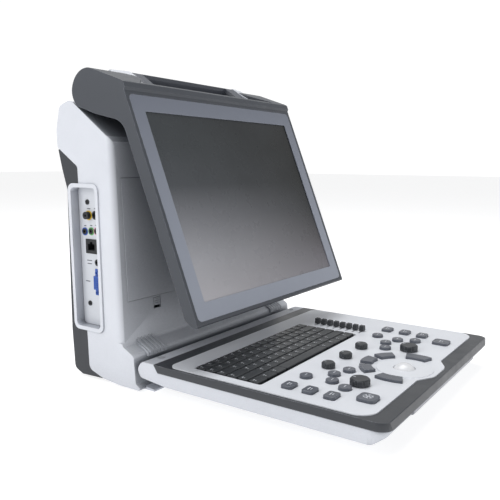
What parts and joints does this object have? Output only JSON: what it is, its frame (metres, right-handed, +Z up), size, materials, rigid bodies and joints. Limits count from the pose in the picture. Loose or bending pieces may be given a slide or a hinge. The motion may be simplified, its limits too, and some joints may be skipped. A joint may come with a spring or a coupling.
{
  "type": "ultrasound scanner",
  "caption": "Portable ultrasound scanner, unfolded: upright console, tilting screen with carry handle, and fold-down control panel with keyboard and trackball.",
  "frame": {"origin": "on the table, under the middle of the unfolded scanner's box", "axes": "+X to the user's right, +Y to the back, away from the user, +Z up"},
  "size_m": [0.356, 0.442, 0.3828],
  "materials": {
    "main_housing": "fine moulded texture",
    "rear_cover": "fine moulded texture",
    "port_bezel": "fine moulded texture",
    "port_plate": "satin",
    "av_jacks": "plain",
    "network_jack": "plain",
    "display_connector": "plain",
    "probe_sockets": "plain",
    "battery_door": "fine moulded texture",
    "base_foot_bar": "fine moulded texture",
    "rubber_feet": "plain",
    "monitor_hinge_brackets": "satin",
    "panel_hinge_arms": "satin",
    "panel_hinge_covers": "fine moulded texture",
    "chassis_frame": "zinc plated",
    "main_board": "solder mask",
    "power_supply": "satin",
    "battery_pack": "plain",
    "fan_housing": "plain",
    "disk_drive": "satin",
    "power_inlet": "plain",
    "housing_screws": "plain",
    "battery_latch": "fine moulded texture",
    "fan_rotor": "plain",
    "monitor_shell": "fine moulded texture",
    "monitor_bezel": "fine moulded texture",
    "lcd_module": "satin",
    "screen_glass": "anti-glare film over the display",
    "lcd_driver_board": "solder mask",
    "monitor_hinge_shafts": "ground",
    "handle_grip": "fine moulded texture",
    "handle_trims": "fine moulded texture",
    "panel_frame": "fine moulded texture",
    "control_plate": "satin",
    "panel_tray": "fine moulded texture",
    "keyboard_deck": "plain",
    "control_board": "solder mask",
    "trackball_ring": "satin",
    "screw_plugs": "plain",
    "front_grip": "satin",
    "panel_hinge_pins": "ground",
    "trackball": "polished",
    "knob_1": "plain",
    "knob_2": "plain",
    "knob_3": "plain",
    "dial_left": "plain",
    "dial_right": "plain",
    "keyboard_keys": "plain",
    "side_keys": "satin",
    "oval_keys": "satin",
    "arc_keys": "satin",
    "freeze_key": "satin",
    "gain_slider_1": "plain",
    "gain_slider_2": "plain",
    "gain_slider_3": "plain",
    "gain_slider_4": "plain",
    "gain_slider_5": "plain",
    "gain_slider_6": "plain",
    "gain_slider_7": "plain",
    "gain_slider_8": "plain"
  },
  "bodies": {
    "console": {"main_housing": "main_housing", "rear_cover": "rear_cover", "port_bezel": "port_bezel", "port_plate": "port_plate", "av_jacks": "av_jacks", "network_jack": "network_jack", "display_connector": "display_connector", "probe_sockets": "probe_sockets", "battery_door": "battery_door", "base_foot_bar": "base_foot_bar", "rubber_feet": "rubber_feet", "monitor_hinge_brackets": "monitor_hinge_brackets", "panel_hinge_arms": "panel_hinge_arms", "panel_hinge_covers": "panel_hinge_covers", "chassis_frame": "chassis_frame", "main_board": "main_board", "power_supply": "power_supply", "battery_pack": "battery_pack", "fan_housing": "fan_housing", "disk_drive": "disk_drive", "power_inlet": "power_inlet", "housing_screws": "housing_screws"},
    "battery_latch": {"battery_latch": "battery_latch"},
    "fan_rotor": {"fan_rotor": "fan_rotor"},
    "monitor": {"monitor_shell": "monitor_shell", "monitor_bezel": "monitor_bezel", "lcd_module": "lcd_module", "screen_glass": "screen_glass", "lcd_driver_board": "lcd_driver_board", "monitor_hinge_shafts": "monitor_hinge_shafts", "handle_grip": "handle_grip", "handle_trims": "handle_trims"},
    "panel": {"panel_frame": "panel_frame", "control_plate": "control_plate", "panel_tray": "panel_tray", "keyboard_deck": "keyboard_deck", "control_board": "control_board", "trackball_ring": "trackball_ring", "screw_plugs": "screw_plugs", "front_grip": "front_grip", "panel_hinge_pins": "panel_hinge_pins"},
    "trackball": {"trackball": "trackball"},
    "knob_1": {"knob_1": "knob_1"},
    "knob_2": {"knob_2": "knob_2"},
    "knob_3": {"knob_3": "knob_3"},
    "dial_left": {"dial_left": "dial_left"},
    "dial_right": {"dial_right": "dial_right"},
    "keyboard_keys": {"keyboard_keys": "keyboard_keys"},
    "side_keys": {"side_keys": "side_keys"},
    "oval_keys": {"oval_keys": "oval_keys"},
    "arc_keys": {"arc_keys": "arc_keys"},
    "freeze_key": {"freeze_key": "freeze_key"},
    "gain_slider_1": {"gain_slider_1": "gain_slider_1"},
    "gain_slider_2": {"gain_slider_2": "gain_slider_2"},
    "gain_slider_3": {"gain_slider_3": "gain_slider_3"},
    "gain_slider_4": {"gain_slider_4": "gain_slider_4"},
    "gain_slider_5": {"gain_slider_5": "gain_slider_5"},
    "gain_slider_6": {"gain_slider_6": "gain_slider_6"},
    "gain_slider_7": {"gain_slider_7": "gain_slider_7"},
    "gain_slider_8": {"gain_slider_8": "gain_slider_8"}
  },
  "joints": [
    {"name": "panel_fold", "type": "hinge", "parent": "console", "child": "panel", "pos_m": [0, 0.0676, 0.03], "axis": [-1, 0, 0], "range_deg": [0, 90]},
    {"name": "monitor_tilt", "type": "hinge", "parent": "console", "child": "monitor", "pos_m": [0, 0.1615, 0.3495], "axis": [1, 0, 0], "range_deg": [0, 20.4]},
    {"name": "fan_spin", "type": "hinge", "parent": "console", "child": "fan_rotor", "pos_m": [0.092, 0.191, 0.182], "axis": [0, 1, 0], "continuous": true},
    {"name": "battery_latch_slide", "type": "slide", "parent": "console", "child": "battery_latch", "axis": [0, -0.0505, -0.9987], "range_m": [0, 0.003], "stiffness_N_per_m": 200},
    {"name": "trackball_roll", "type": "hinge", "parent": "panel", "child": "trackball", "pos_m": [-0.0205, -0.177, 0.0328], "axis": [1, 0, 0], "continuous": true},
    {"name": "knob_1_turn", "type": "hinge", "parent": "panel", "child": "knob_1", "pos_m": [-0.068, -0.1048, 0.045], "axis": [0, 0, 1], "continuous": true},
    {"name": "knob_2_turn", "type": "hinge", "parent": "panel", "child": "knob_2", "pos_m": [-0.0235, -0.1049, 0.045], "axis": [0, 0, 1], "continuous": true},
    {"name": "knob_3_turn", "type": "hinge", "parent": "panel", "child": "knob_3", "pos_m": [0.0225, -0.1044, 0.045], "axis": [0, 0, 1], "continuous": true},
    {"name": "dial_left_turn", "type": "hinge", "parent": "panel", "child": "dial_left", "pos_m": [-0.0983, -0.1577, 0.045], "axis": [0, 0, 1], "continuous": true},
    {"name": "dial_right_turn", "type": "hinge", "parent": "panel", "child": "dial_right", "pos_m": [0.0485, -0.1567, 0.045], "axis": [0, 0, 1], "continuous": true},
    {"name": "gain_slider_1_slide", "type": "slide", "parent": "panel", "child": "gain_slider_1", "axis": [1, 0, 0], "range_m": [-0.01, 0.01]},
    {"name": "gain_slider_2_slide", "type": "slide", "parent": "panel", "child": "gain_slider_2", "axis": [1, 0, 0], "range_m": [-0.01, 0.01]},
    {"name": "gain_slider_3_slide", "type": "slide", "parent": "panel", "child": "gain_slider_3", "axis": [1, 0, 0], "range_m": [-0.01, 0.01]},
    {"name": "gain_slider_4_slide", "type": "slide", "parent": "panel", "child": "gain_slider_4", "axis": [1, 0, 0], "range_m": [-0.01, 0.01]},
    {"name": "gain_slider_5_slide", "type": "slide", "parent": "panel", "child": "gain_slider_5", "axis": [1, 0, 0], "range_m": [-0.01, 0.01]},
    {"name": "gain_slider_6_slide", "type": "slide", "parent": "panel", "child": "gain_slider_6", "axis": [1, 0, 0], "range_m": [-0.01, 0.01]},
    {"name": "gain_slider_7_slide", "type": "slide", "parent": "panel", "child": "gain_slider_7", "axis": [1, 0, 0], "range_m": [-0.01, 0.01]},
    {"name": "gain_slider_8_slide", "type": "slide", "parent": "panel", "child": "gain_slider_8", "axis": [1, 0, 0], "range_m": [-0.01, 0.01]},
    {"name": "keyboard_keys_press", "type": "slide", "parent": "panel", "child": "keyboard_keys", "axis": [0, 0, -1], "range_m": [0, 0.0018], "stiffness_N_per_m": 600},
    {"name": "side_keys_press", "type": "slide", "parent": "panel", "child": "side_keys", "axis": [0, 0, -1], "range_m": [0, 0.0018], "stiffness_N_per_m": 600},
    {"name": "oval_keys_press", "type": "slide", "parent": "panel", "child": "oval_keys", "axis": [0, 0, -1], "range_m": [0, 0.0018], "stiffness_N_per_m": 600},
    {"name": "arc_keys_press", "type": "slide", "parent": "panel", "child": "arc_keys", "axis": [0, 0, -1], "range_m": [0, 0.0018], "stiffness_N_per_m": 600},
    {"name": "freeze_key_press", "type": "slide", "parent": "panel", "child": "freeze_key", "axis": [0, 0, -1], "range_m": [0, 0.0018], "stiffness_N_per_m": 600}
  ],
  "couplings": [
    {"joint": "monitor_tilt", "follows": "panel_fold", "ratio": 0.2266}
  ]
}
